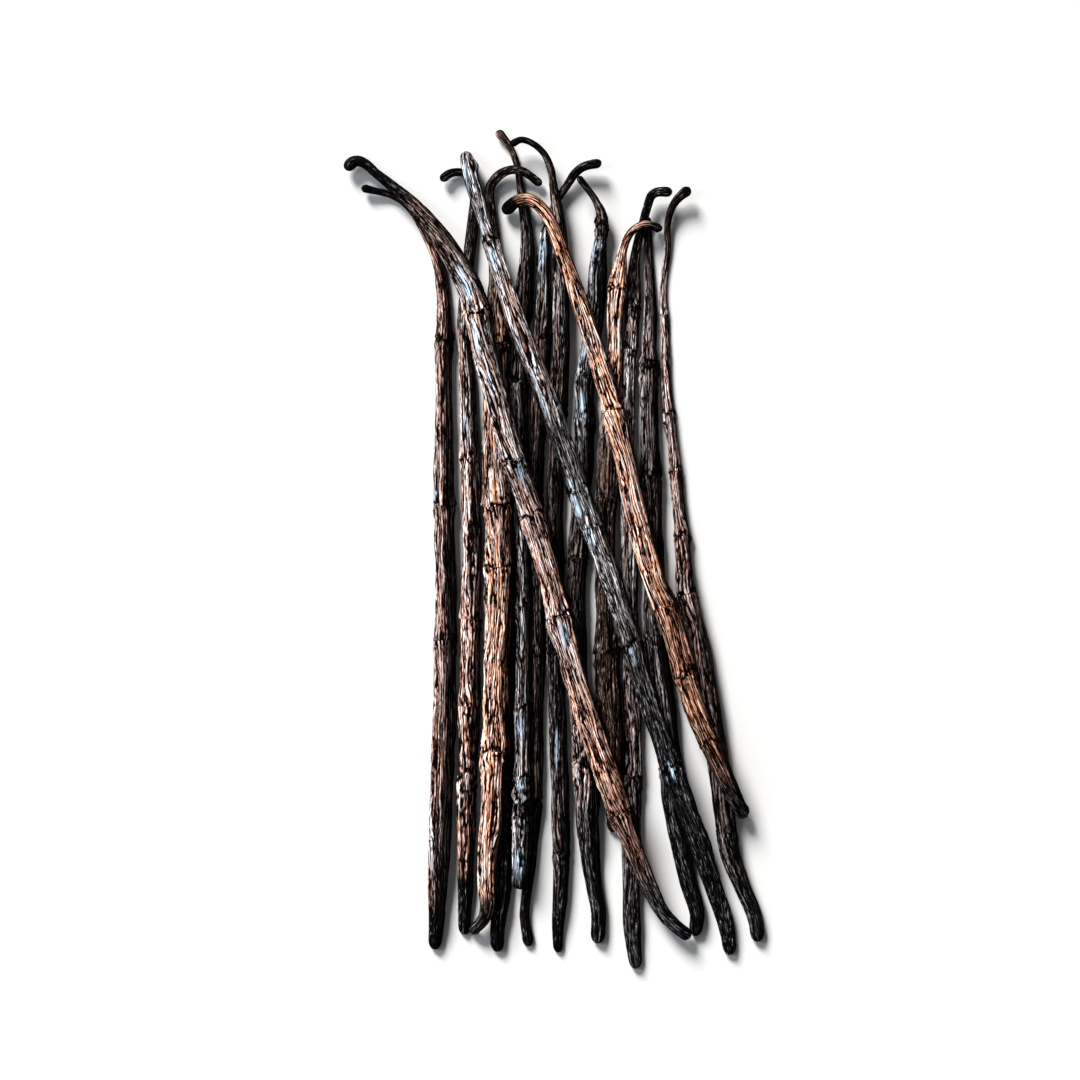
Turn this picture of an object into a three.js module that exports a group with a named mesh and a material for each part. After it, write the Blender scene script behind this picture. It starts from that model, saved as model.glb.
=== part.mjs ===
// A bundle of cured vanilla pods, lying in a loose heap on a flat surface.
//
// Units are millimetres, +Z is up and +Y points along the pods to their stem ends. The origin is
// the centre of the heap's footprint, on the surface that the pods lie on.
//
// Each pod is a turned profile, narrow at the stem and round at both ends, that is bent along its
// own course. The courses are laid one after the other: a pod sinks until it meets the surface or
// a pod laid before it, and hangs in a slack curve between the places that hold it up.
import * as THREE from "three";

// Sizes of every pod.
const FLATNESS = 0.86; // height of a pod's section over its width
const BEDDING = 0.35; // how far an underside is pressed flat by the surface
const GAP = 0.34; // clear distance between two pods that touch
const SLACK = 0.0128; // curvature of a pod that hangs free, per millimetre
const FLUTE_DEPTH = 0.07; // depth of the long furrows, as a part of the radius
const FLUTE_WAVE = 17; // length over which a furrow grows and fades
const KNOT_SWELLING = 0.06; // extra radius at a joint of a pod, as a part of the radius
const KNOT_REACH = 3.5; // distance over which a joint's swelling fades

// Facets.
const SIDES = 10; // flats round a pod, so that a flat one faces down
const RINGS = 35; // sections along a pod
const END_RINGS = 2; // sections in the rounding of each end
const LAYING_STEP = 1; // distance between the places at which pods are tested against each other
const STRAIGHT_RING_STEP = 9; // distance between sections where a pod runs straight
const TURN_PER_RING = 0.35; // turn, in radians, that adds a section
const RINGS_PER_KNOT = 3; // sections that a joint adds

// Where along a pod its widths are given, from its stem at 0 to its tip at 1.
const WIDTH_STATIONS = [0, 0.04, 0.07, 0.15, 0.25, 0.4, 0.6, 0.8, 0.93, 1];

// Skin colours.
const BLACK = 0x18120f;
const DARK_BROWN = 0x2a1b14;
const GREY_BROWN = 0x4a3a33;
const TAN = 0x7a4c33;

// The pods in the order in which they lie on each other, the lowest first.
//   course     places [x, y] that the middle of the pod passes over, from the stem end to the tip
//   widths     the pod's width at each of WIDTH_STATIONS
//   knots      where its joints are, as parts of its length
//   stemLift   how far the stem's end is curled up off whatever is below it
const PODS = [
  {
    name: "pod_left_buried",
    colour: BLACK,
    course: [
      [-13.8, 52.2], [-12.4, 41.2], [-11.2, 27.4], [-10.3, 6.7], [-10.2, -16.3], [-10.8, -48.5],
      [-11.4, -76.1], [-12.9, -87.2], [-12.9, -92.5],
    ],
    widths: [2.3, 2.5, 3, 3.3, 3.5, 3.5, 3.7, 4.2, 4.1, 3],
    knots: [0.6],
    stemLift: 0,
  },
  {
    name: "pod_centre_slim",
    colour: BLACK,
    course: [
      [10.9, 88.6], [6, 87.2], [2.3, 82.3], [-1.2, 76.1], [-2.3, 68], [-2.4, 50.4], [-4.3, 15.9],
      [-3.7, -11.7], [-4.3, -52], [-5.5, -74.5], [-6.7, -82], [-6.3, -87.2], [-5.8, -91.3],
    ],
    widths: [2.3, 2.1, 1.9, 3.4, 4.1, 3.7, 3.7, 3.6, 2.5, 2.5],
    knots: [0.22, 0.42, 0.62, 0.8],
    stemLift: 3,
  },
  {
    name: "pod_centre_short",
    colour: BLACK,
    course: [
      [-13.1, 96.1], [-10.6, 93.2], [-9, 90.2], [-7.8, 84], [-6.1, 71.1], [-6.4, 63], [-8.2, 43.5],
      [-8, 32], [-7.6, 13.6], [-7.1, -4.8], [-7.1, -48.5], [-7.8, -77.5],
    ],
    widths: [2, 1.6, 1.8, 3.4, 4.7, 4.4, 3.4, 3.8, 3.9, 3.6],
    knots: [0.33, 0.63, 0.77, 0.86],
    stemLift: 1,
  },
  {
    name: "pod_left_outer",
    colour: DARK_BROWN,
    course: [
      [-44.2, 83], [-36.8, 81], [-33.6, 78.9], [-31.4, 76.1], [-29, 71.5], [-26.9, 66.5],
      [-25.2, 56.5], [-25.3, 36.6], [-24.8, -20.9], [-25.3, -46.5], [-27, -87.2], [-27.3, -92],
    ],
    widths: [1.9, 1.5, 1.8, 2.8, 4.1, 4.6, 5.1, 5.5, 4.9, 3],
    knots: [0.26, 0.45, 0.61, 0.89],
    stemLift: 1.5,
  },
  {
    name: "pod_left_slim",
    colour: GREY_BROWN,
    course: [
      [-26, 84.6], [-24.2, 86.1], [-21.9, 86.6], [-19.8, 85.8], [-18.5, 83], [-18.6, 76.8],
      [-20.4, 52], [-19.9, 36.6], [-19, 15], [-18.9, -2.5], [-20.3, -75], [-20.5, -88.6],
    ],
    widths: [2.1, 2, 2.4, 3, 3.4, 4.5, 4.9, 4.7, 3.9, 2.5],
    knots: [0.29, 0.43, 0.7],
    stemLift: 1.5,
  },
  {
    name: "pod_centre_long",
    colour: BLACK,
    course: [
      [-10, 92.5], [-7.6, 93.8], [-4.5, 92.7], [-2.1, 90.4], [-0.7, 87.2], [0, 82.6], [1.4, 72.2],
      [1.7, 50.4], [1.3, 34], [0.4, 15.9], [0.6, -25.5], [1.7, -69.2], [0.9, -92.7],
    ],
    widths: [1.5, 1.5, 1.9, 3.3, 4.2, 4, 4, 4.5, 3.8, 2.1],
    knots: [0.13, 0.32, 0.62, 0.87],
    stemLift: 2,
  },
  {
    name: "pod_centre_stout",
    colour: BLACK,
    course: [
      [5.5, 85.3], [9.7, 79.7], [10.9, 77.1], [11, 74.1], [9.9, 63], [9.4, 53], [7.1, 38],
      [7.1, 28.5], [5.4, -2.5], [5.5, -20.9], [7.7, -53.1], [7.9, -64.6], [9.4, -78.4],
      [10.3, -84.2], [10.1, -90.6],
    ],
    widths: [1.5, 1.7, 2.7, 4.7, 4.6, 4.4, 4.5, 6.1, 3.8, 3.4],
    knots: [0.1, 0.31, 0.51, 0.81],
    stemLift: 2,
  },
  {
    name: "pod_right_buried",
    colour: BLACK,
    course: [
      [21.5, 76.4], [22.2, 54], [21.9, 43], [22.8, 2.1], [23.7, -23.2], [26.3, -42.8],
      [27.7, -59.3], [28.8, -65.6], [31.6, -78.9], [32.9, -83.5], [32.4, -88.9],
    ],
    widths: [1.9, 1.9, 2.3, 3.3, 4.7, 4.4, 5.5, 5.1, 4.1, 3.3],
    knots: [0.21, 0.35, 0.59, 0.8],
    stemLift: 0,
  },
  {
    name: "pod_right_long",
    colour: BLACK,
    course: [
      [27.1, 81.7], [24.4, 81.8], [22.5, 81.2], [21.5, 78.4], [20, 72.5], [18.9, 67.6],
      [17.9, 50.4], [16.8, 29.7], [17.2, 8], [18.1, -43.9], [17.8, -84], [18.8, -96.4],
    ],
    widths: [2.3, 2.1, 2, 3.3, 3.5, 4, 4.3, 4.3, 4.1, 3],
    knots: [0.15, 0.3, 0.59, 0.76],
    stemLift: 3,
  },
  {
    name: "pod_right_outer",
    colour: DARK_BROWN,
    course: [
      [31.3, 82.6], [28.5, 80.5], [26.3, 76.1], [26.1, 68.8], [25.2, 60.7], [25.5, 51.5],
      [25.9, 36.6], [27.6, 21.6], [29.9, -2.5], [30.2, -9], [31.4, -13.8], [35.5, -34.7],
      [38.9, -59.3], [40.2, -68.8], [42, -73.8], [45.2, -82.1], [46.5, -85.8], [46.9, -90.2],
    ],
    widths: [2.4, 1.8, 1.5, 1.7, 2.3, 3.1, 5.2, 5.3, 4.1, 3.3],
    knots: [0.1, 0.17, 0.3, 0.53, 0.87],
    stemLift: 3,
  },
  {
    name: "pod_right_arched",
    colour: TAN,
    course: [
      [24.7, 73.5], [21, 74.4], [19.1, 73.8], [17.3, 72.2], [15.9, 69.2], [15.2, 65.1], [14.2, 57],
      [14, 45.8], [12, 8], [11.8, -4], [12.5, -30], [13.7, -65],
    ],
    widths: [2.1, 1.8, 2, 3.9, 3.5, 5.2, 5.1, 5.8, 4.6, 2.8],
    knots: [0.15, 0.44, 0.7],
    stemLift: 0.5,
  },
  {
    name: "pod_left_tan",
    colour: TAN,
    course: [
      [-2.8, 83.7], [-6.9, 86.5], [-9.4, 87.1], [-12.2, 86], [-14.7, 83], [-14.5, 79.1],
      [-13.1, 62], [-13.4, 41.2], [-12.8, -2], [-12.9, -20], [-14.3, -63], [-15.5, -74],
      [-15.2, -81.4], [-16.2, -84.9], [-18.9, -87.9],
    ],
    widths: [1.8, 2, 2.4, 3.1, 5.6, 6.4, 6.3, 6, 4.6, 2.5],
    knots: [0.27, 0.47, 0.54, 0.77],
    stemLift: 1,
  },
  {
    name: "pod_top_left",
    colour: GREY_BROWN,
    course: [
      [-47.4, 86.8], [-46.6, 88.6], [-44.8, 89.1], [-42.4, 87.7], [-38.2, 83.8], [-34.8, 81.7],
      [-30.7, 77.5], [-22.5, 66], [-18.5, 57.5], [-16.1, 45.8], [-13.1, 33.8], [-8.5, 18.2],
      [-1.8, -2.5], [3.9, -25.5], [9.4, -43.5], [14.2, -57.2], [23.1, -80], [27.1, -85.8],
      [30.8, -88.8],
    ],
    widths: [3, 2.3, 2.6, 4.9, 6, 5.5, 6, 6, 4.1, 3.1],
    knots: [0.24, 0.35, 0.42, 0.61, 0.8],
    stemLift: 1.5,
  },
  {
    name: "pod_top_middle",
    colour: GREY_BROWN,
    course: [
      [-20.2, 91.3], [-19.9, 89], [-18.6, 84], [-13.6, 67.6], [-7.8, 50.1], [-1.4, 34],
      [5.4, 14], [14.6, -11.7], [21.5, -34], [28.9, -55.2], [37.3, -79.4], [39.4, -85.3],
      [40.5, -93.2],
    ],
    widths: [3.1, 3.6, 3.4, 4.2, 5.1, 4.9, 5.1, 5.1, 4.4, 3.2],
    knots: [0.13, 0.42, 0.46, 0.59, 0.7],
    stemLift: 0.5,
  },
  {
    name: "pod_top_right",
    colour: TAN,
    course: [
      [-11.7, 77.3], [-9.9, 78.9], [-7.8, 80], [-5.5, 80], [-3.2, 78.4], [-1.2, 75.4], [0.9, 70.6],
      [11, 40.9], [15.2, 25.1], [20.5, 2], [23.1, -7.6], [25.8, -14], [29, -25.1], [34.5, -42.3],
      [38.2, -49.9], [41.2, -57], [43.9, -61.2],
    ],
    widths: [3, 3.1, 2.9, 3.5, 4.3, 4.9, 5.5, 5.3, 4.4, 3],
    knots: [0.26, 0.39, 0.66, 0.74, 0.82],
    stemLift: 0.5,
  },
];

// The width of a pod at a part of its length, eased from each given width to the next.
function widthAt(pod, part) {
  const last = WIDTH_STATIONS.length - 2;
  const found = WIDTH_STATIONS.findLastIndex((station) => station <= part);
  const i = THREE.MathUtils.clamp(found, 0, last);
  const eased = THREE.MathUtils.smoothstep(part, WIDTH_STATIONS[i], WIDTH_STATIONS[i + 1]);
  return THREE.MathUtils.lerp(pod.widths[i], pod.widths[i + 1], eased);
}

// How much a place along a pod is part of a joint, from 0 to 1.
function knotAt(pod, distance, length) {
  const fade = (knot) => Math.exp(-(((distance - knot * length) / KNOT_REACH) ** 2));
  return Math.max(...pod.knots.map(fade));
}

// Half the width of a pod at a distance from its stem end, with both ends rounded.
function radiusAt(pod, distance, length) {
  const swelling = 1 + KNOT_SWELLING * knotAt(pod, distance, length);
  const full = (widthAt(pod, distance / length) / 2) * swelling;
  const fromEnd = Math.min(distance, length - distance);
  if (fromEnd >= full) {
    return full;
  }
  return Math.sqrt(Math.max(0, full ** 2 - (full - fromEnd) ** 2));
}

// Samples of a pod's course, one for each laying step: its place in plan and its radius. The
// heights are worked out later, in a space stretched until every section is a circle.
function samplesOf(pod) {
  const points = pod.course.map(([x, y]) => new THREE.Vector3(x, y, 0));
  const curve = new THREE.CatmullRomCurve3(points, false, "centripetal");
  const length = curve.getLength();
  const count = Math.round(length / LAYING_STEP);
  return curve.getSpacedPoints(count).map((point, i) => {
    const distance = (i / count) * length;
    const radius = radiusAt(pod, distance, length);
    return { point, distance, radius, width: widthAt(pod, distance / length) };
  });
}

// The lowest height at which a sample clears the surface and the pods already laid.
function supportHeight(sample, laid) {
  let height = sample.width / 2 - BEDDING / FLATNESS;
  for (const other of laid) {
    const reach = sample.radius + other.radius + GAP;
    const dx = sample.point.x - other.point.x;
    const dy = sample.point.y - other.point.y;
    const room = reach ** 2 - dx ** 2 - dy ** 2;
    if (room > 0) {
      height = Math.max(height, other.point.z + Math.sqrt(room));
    }
  }
  return height;
}

// Heights of a slack line that rests on the supports: it is the least curve that passes over all
// of them and never bends upward by more than SLACK. Taken off a parabola of that curvature, it
// is the upper hull of the supports.
function slackHeights(supports, step) {
  const sag = (i) => (SLACK * (i * step) ** 2) / 2;
  const lowered = supports.map((height, i) => height - sag(i));
  const hull = [];
  for (let i = 0; i < lowered.length; i += 1) {
    while (hull.length > 1) {
      const [a, b] = hull.slice(-2);
      const across = lowered[a] + ((lowered[i] - lowered[a]) * (b - a)) / (i - a);
      if (lowered[b] > across) {
        break;
      }
      hull.pop();
    }
    hull.push(i);
  }
  const heights = [];
  for (let h = 0; h + 1 < hull.length; h += 1) {
    const [a, b] = [hull[h], hull[h + 1]];
    for (let i = a; i < b; i += 1) {
      heights.push(THREE.MathUtils.lerp(lowered[a], lowered[b], (i - a) / (b - a)) + sag(i));
    }
  }
  heights.push(supports[supports.length - 1]);
  return heights;
}

// Lays a pod on those before it and returns its samples, with their heights set.
function layPod(pod, laid) {
  const samples = samplesOf(pod);
  const supports = samples.map((sample) => supportHeight(sample, laid));
  supports[0] += pod.stemLift / FLATNESS;
  const heights = slackHeights(supports, samples[1].distance);
  samples.forEach((sample, i) => {
    sample.point.z = heights[i];
  });
  return samples;
}

// The middle of a laid pod at a distance from its stem end, at its true height.
function middleAt(samples, distance) {
  const index = distance / samples[1].distance;
  const i = THREE.MathUtils.clamp(Math.floor(index), 0, samples.length - 2);
  const middle = samples[i].point.clone().lerp(samples[i + 1].point, index - i);
  middle.z *= FLATNESS;
  return middle;
}

// Distances of a pod's sections from its stem end. They are closer together where it turns and at
// its joints, and END_RINGS more round off each end.
function ringDistances(pod, samples) {
  const length = samples[samples.length - 1].distance;
  const step = samples[1].distance;
  const detail = [0];
  for (let i = 1; i < samples.length; i += 1) {
    const before = samples[Math.max(i - 2, 0)].point;
    const here = samples[i - 1].point;
    const after = samples[i].point;
    const turn = i > 1 ? here.clone().sub(before).angleTo(after.clone().sub(here)) : 0;
    const knot = (knotAt(pod, i * step, length) * RINGS_PER_KNOT * step) / (2 * KNOT_REACH);
    detail.push(detail[i - 1] + step / STRAIGHT_RING_STEP + turn / TURN_PER_RING + knot);
  }
  const detailAt = (distance) => {
    const i = Math.min(Math.floor(distance / step), detail.length - 2);
    return THREE.MathUtils.lerp(detail[i], detail[i + 1], distance / step - i);
  };
  const [first, last] = [samples[0].width / 2, length - samples[samples.length - 1].width / 2];
  const [low, high] = [detailAt(first), detailAt(last)];
  const distances = [];
  let i = 0;
  for (let ring = 0; ring < RINGS; ring += 1) {
    const wanted = THREE.MathUtils.lerp(low, high, ring / (RINGS - 1));
    while (i + 2 < detail.length && detail[i + 1] < wanted) {
      i += 1;
    }
    distances.push(((wanted - detail[i]) / (detail[i + 1] - detail[i]) + i) * step);
  }
  const rounding = (ring) => 1 - Math.cos((ring / (END_RINGS + 1)) * (Math.PI / 2));
  for (let ring = END_RINGS; ring >= 0; ring -= 1) {
    distances.unshift(first * rounding(ring));
    distances.push(length - (length - last) * rounding(ring));
  }
  return distances;
}

// A pod's solid: its turned profile, bent along its samples, with long furrows in its sides and
// its underside flattened where it lies on the surface.
function podGeometry(pod, samples, index) {
  const length = samples[samples.length - 1].distance;
  const profile = ringDistances(pod, samples).map(
    (distance) => new THREE.Vector2(radiusAt(pod, distance, length), distance),
  );
  const geometry = new THREE.LatheGeometry(profile, SIDES, Math.PI / SIDES);
  const position = geometry.getAttribute("position");
  const local = new THREE.Vector3();
  for (let i = 0; i < position.count; i += 1) {
    local.fromBufferAttribute(position, i);
    const distance = local.y;
    const centre = middleAt(samples, distance);
    const ahead = middleAt(samples, Math.min(distance + LAYING_STEP, length));
    const behind = middleAt(samples, Math.max(distance - LAYING_STEP, 0));
    const along = ahead.sub(behind).normalize();
    const side = new THREE.Vector3(0, 0, 1).cross(along).negate().normalize();
    const up = side.clone().cross(along);
    const flute = Math.floor(i / profile.length) % 2;
    const depth = FLUTE_DEPTH * (0.5 + 0.5 * Math.sin(distance / FLUTE_WAVE + index));
    const inward = 1 - depth * flute;
    centre.addScaledVector(side, local.x * inward);
    centre.addScaledVector(up, local.z * FLATNESS * inward);
    position.setXYZ(i, centre.x, centre.y, Math.max(0, centre.z));
  }
  geometry.computeVertexNormals();
  return geometry;
}

const bundle = new THREE.Group();
const laid = [];
PODS.forEach((pod, index) => {
  const samples = layPod(pod, laid);
  const skin = new THREE.MeshStandardMaterial({ color: pod.colour, roughness: 0.5, metalness: 0 });
  const mesh = new THREE.Mesh(podGeometry(pod, samples, index), skin);
  mesh.name = pod.name;
  bundle.add(mesh);
  laid.push(...samples);
});
export default bundle;
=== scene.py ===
"""A loose bundle of cured vanilla pods on a pale floor, seen from straight above.

Each pod of the frame is replaced by a fine mesh that follows the same course. Its skin is wrinkled
lengthwise, pinched at the joints and shrunk round both ends. Lengths are in millimetres inside the
classes and become metres when a mesh is made.
"""

import logging
import math
from collections.abc import Iterable
from dataclasses import dataclass
from enum import Enum

import bpy
import numpy as np
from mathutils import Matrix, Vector


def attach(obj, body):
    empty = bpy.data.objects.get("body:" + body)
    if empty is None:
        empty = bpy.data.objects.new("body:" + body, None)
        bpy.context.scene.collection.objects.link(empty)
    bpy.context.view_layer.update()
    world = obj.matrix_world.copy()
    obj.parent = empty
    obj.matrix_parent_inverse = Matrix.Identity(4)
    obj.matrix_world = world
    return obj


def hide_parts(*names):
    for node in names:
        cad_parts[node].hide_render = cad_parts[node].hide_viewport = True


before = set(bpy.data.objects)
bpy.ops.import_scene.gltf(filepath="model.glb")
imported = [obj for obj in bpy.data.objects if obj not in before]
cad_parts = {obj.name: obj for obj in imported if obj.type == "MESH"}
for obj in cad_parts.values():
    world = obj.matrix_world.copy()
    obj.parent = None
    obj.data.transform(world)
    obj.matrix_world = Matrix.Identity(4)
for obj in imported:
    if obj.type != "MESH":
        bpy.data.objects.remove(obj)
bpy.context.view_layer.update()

LOG = logging.getLogger("pods")
MM = 0.001

Colour = tuple[float, float, float, float]
Triple = tuple[float, float, float]
Array = np.ndarray
Socket = bpy.types.NodeSocket


def srgb(red: int, green: int, blue: int) -> Colour:
    """Turns a colour given as 0 to 255 on a screen into a linear one.

    Args:
        red: Red, 0 to 255.
        green: Green, 0 to 255.
        blue: Blue, 0 to 255.

    Returns:
        The linear colour, with full alpha.
    """
    linear = [((c / 255 + 0.055) / 1.055) ** 2.4 if c > 10 else c / 255 / 12.92 for c in (red, green, blue)]
    return (linear[0], linear[1], linear[2], 1.0)


def new_object(name: str, data: bpy.types.ID) -> bpy.types.Object:
    """Makes an object and links it into the scene.

    Args:
        name: The object's name.
        data: Its mesh, light or camera.

    Returns:
        The new object.
    """
    made = bpy.data.objects.new(name, data)
    bpy.context.scene.collection.objects.link(made)
    return made


class Graph:
    """A node tree that is wired by short calls."""

    MIX_INPUTS = (0, 6, 7)
    MIX_OUTPUT = 2

    def __init__(self, tree: bpy.types.NodeTree) -> None:
        """Starts wiring in a tree.

        Args:
            tree: The node tree to add to.
        """
        self.tree = tree

    def add(self, kind: str, **settings: object) -> bpy.types.Node:
        """Adds a node.

        Args:
            kind: The node's class name.
            settings: Properties of the node, by name.

        Returns:
            The new node.
        """
        node = self.tree.nodes.new(kind)
        for name, value in settings.items():
            setattr(node, name, value)
        return node

    def feed(self, target: Socket, source: object) -> None:
        """Links a socket to another one, or sets its value.

        Args:
            target: The input socket.
            source: An output socket, or a value.
        """
        if isinstance(source, Socket):
            self.tree.links.new(source, target)
        else:
            target.default_value = source

    def feed_all(self, targets: Iterable[Socket], sources: Iterable[object]) -> None:
        """Feeds several input sockets in their order."""
        for target, source in zip(targets, sources):
            self.feed(target, source)

    def math(self, operation: str, *values: object, clamp: bool = False) -> Socket:
        """Works out a number from one to three others.

        Args:
            operation: The Math node's operation.
            values: Sockets or numbers.
            clamp: Whether the result is kept between 0 and 1.

        Returns:
            The result's socket.
        """
        node = self.add("ShaderNodeMath", operation=operation, use_clamp=clamp)
        self.feed_all(node.inputs, values)
        return node.outputs[0]

    def times(self, first: object, second: object, clamp: bool = False) -> Socket:
        """Multiplies two numbers."""
        return self.math("MULTIPLY", first, second, clamp=clamp)

    def lifted(self, value: Socket, low: float) -> Socket:
        """Squeezes a number that runs from 0 to 1 so that it runs from low to 1."""
        return self.math("MULTIPLY_ADD", value, 1 - low, low)

    def ramp(self, value: object, low: float, high: float) -> Socket:
        """Eases a number from 0 to 1 as it goes from low to high.

        Args:
            value: The socket to read.
            low: Where the result is 0.
            high: Where the result is 1.

        Returns:
            The result's socket.
        """
        node = self.add("ShaderNodeMapRange", interpolation_type="SMOOTHSTEP")
        self.feed_all(node.inputs, (value, low, high, 0.0, 1.0))
        return node.outputs[0]

    def mix(self, factor: object, first: object, second: object) -> Socket:
        """Mixes two colours.

        Args:
            factor: How much of the second shows, 0 to 1.
            first: A colour or its socket.
            second: A colour or its socket.

        Returns:
            The mixed colour's socket.
        """
        node = self.add("ShaderNodeMix", data_type="RGBA")
        self.feed_all([node.inputs[i] for i in self.MIX_INPUTS], (factor, first, second))
        return node.outputs[self.MIX_OUTPUT]

    def vector(self, operation: str, *values: object) -> Socket:
        """Works out a vector from two or three others.

        Args:
            operation: The Vector Math node's operation.
            values: Sockets or vectors.

        Returns:
            The result's socket.
        """
        node = self.add("ShaderNodeVectorMath", operation=operation)
        self.feed_all(node.inputs, values)
        return node.outputs[0]

    def texture(self, kind: str, place: Socket, stretch: Triple, **settings: object) -> bpy.types.Node:
        """Adds a texture that is drawn out along the pod.

        Args:
            kind: The texture node's class name.
            place: The socket with the place on the straightened pod, in millimetres.
            stretch: Waves or cells in a millimetre, across, along and up.
            settings: Properties of the node, by name.

        Returns:
            The texture's node.
        """
        scaled = self.vector("MULTIPLY", place, stretch)
        texture = self.add(kind, **settings)
        self.feed(texture.inputs["Vector"], scaled)
        self.feed(texture.inputs["Scale"], 1.0)
        return texture

    def noise(self, place: Socket, stretch: Triple, detail: float, roughness: float = 0.55) -> Socket:
        """Adds a noise.

        Args:
            place: The place's socket.
            stretch: Waves in a millimetre, across, along and up.
            detail: How many finer layers it has.
            roughness: How strong the finer layers are.

        Returns:
            The noise's value socket.
        """
        texture = self.texture("ShaderNodeTexNoise", place, stretch, noise_dimensions="3D")
        self.feed(texture.inputs["Detail"], detail)
        self.feed(texture.inputs["Roughness"], roughness)
        return texture.outputs["Fac"]

    def net(self, place: Socket, stretch: Triple) -> Socket:
        """Adds a net of creases round lens-shaped cells.

        Args:
            place: The place's socket.
            stretch: Cells in a millimetre, across, along and up.

        Returns:
            The distance to the nearest crease, in cells.
        """
        settings = {"feature": "DISTANCE_TO_EDGE", "voronoi_dimensions": "3D"}
        return self.texture("ShaderNodeTexVoronoi", place, stretch, **settings).outputs["Distance"]

    def warped(self, place: Socket, stretch: Triple, reach: Triple) -> Socket:
        """Shifts places to and fro, so that what is drawn on them wavers.

        Args:
            place: The place's socket.
            stretch: Waves in a millimetre, across, along and up.
            reach: How far a place moves each way, in millimetres.

        Returns:
            The shifted place's socket.
        """
        texture = self.texture("ShaderNodeTexNoise", place, stretch, noise_dimensions="3D")
        centred = self.vector("SUBTRACT", texture.outputs["Color"], (0.5, 0.5, 0.5))
        return self.vector("MULTIPLY_ADD", centred, reach, place)


def new_group(
    name: str, inputs: dict[str, str], outputs: dict[str, str]
) -> tuple[Graph, bpy.types.Node, bpy.types.Node]:
    """Makes an empty shader node group.

    Args:
        name: The group's name.
        inputs: Socket types by input name.
        outputs: Socket types by output name.

    Returns:
        The group's graph, its input node and its output node.
    """
    tree = bpy.data.node_groups.new(name, "ShaderNodeTree")
    for socket, kind in inputs.items():
        tree.interface.new_socket(socket, in_out="INPUT", socket_type=kind)
    for socket, kind in outputs.items():
        tree.interface.new_socket(socket, in_out="OUTPUT", socket_type=kind)
    graph = Graph(tree)
    return graph, graph.add("NodeGroupInput"), graph.add("NodeGroupOutput")


FLOAT = "NodeSocketFloat"
COLOUR = "NodeSocketColor"
VECTOR = "NodeSocketVector"


class FibreGroup:
    """Shader group with the fine wrinkles and grain of a dried skin, finer than the mesh."""

    WAVER = (0.7, 0.25, 0.7)
    WAVER_REACH = (0.26, 0.9, 0.26)
    STRAND = (1.8, 0.09, 1.8)
    CRINKLE = (3.0, 0.34, 3.0)
    FINE = (4.6, 0.55, 4.6)
    STREAK = (1.7, 0.15, 1.7)
    BLOTCH = (0.7, 0.2, 0.7)
    NICK = (2.4, 0.5, 2.4)
    DETAIL = 2.0
    FINE_DETAIL = 3.0
    FINE_ROUGHNESS = 0.65
    NICK_ROUGHNESS = 0.6
    STRAND_WIDTH = 0.26
    CRINKLE_WIDTH = 0.24
    STRAND_SHARE = 0.6
    CRINKLE_SHARE = 0.4
    GRAIN_SHARE = 0.5
    NAMES = ("Fibre", "Streak", "Blotch", "Nick", "Wrinkle", "Height")

    @classmethod
    def build(cls) -> bpy.types.NodeTree:
        """Builds the group.

        Returns:
            The group's node tree, with Place in and the named heights out.
        """
        outputs = {name: FLOAT for name in cls.NAMES}
        graph, given, result = new_group("skin_fibre", {"Place": VECTOR}, outputs)
        place = given.outputs["Place"]
        fibre = graph.noise(place, cls.FINE, cls.FINE_DETAIL, cls.FINE_ROUGHNESS)
        streak = graph.noise(place, cls.STREAK, cls.DETAIL)
        blotch = graph.noise(place, cls.BLOTCH, cls.DETAIL)
        nick = graph.noise(place, cls.NICK, cls.DETAIL, cls.NICK_ROUGHNESS)
        wavering = graph.warped(place, cls.WAVER, cls.WAVER_REACH)
        strand = graph.ramp(graph.net(wavering, cls.STRAND), 0.0, cls.STRAND_WIDTH)
        crinkle = graph.ramp(graph.net(wavering, cls.CRINKLE), 0.0, cls.CRINKLE_WIDTH)
        strands = graph.times(strand, cls.STRAND_SHARE)
        wrinkle = graph.math("MULTIPLY_ADD", crinkle, cls.CRINKLE_SHARE, strands)
        height = graph.math("MULTIPLY_ADD", fibre, cls.GRAIN_SHARE, wrinkle)
        graph.feed_all(result.inputs, (fibre, streak, blotch, nick, wrinkle, height))
        return graph.tree


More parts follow.
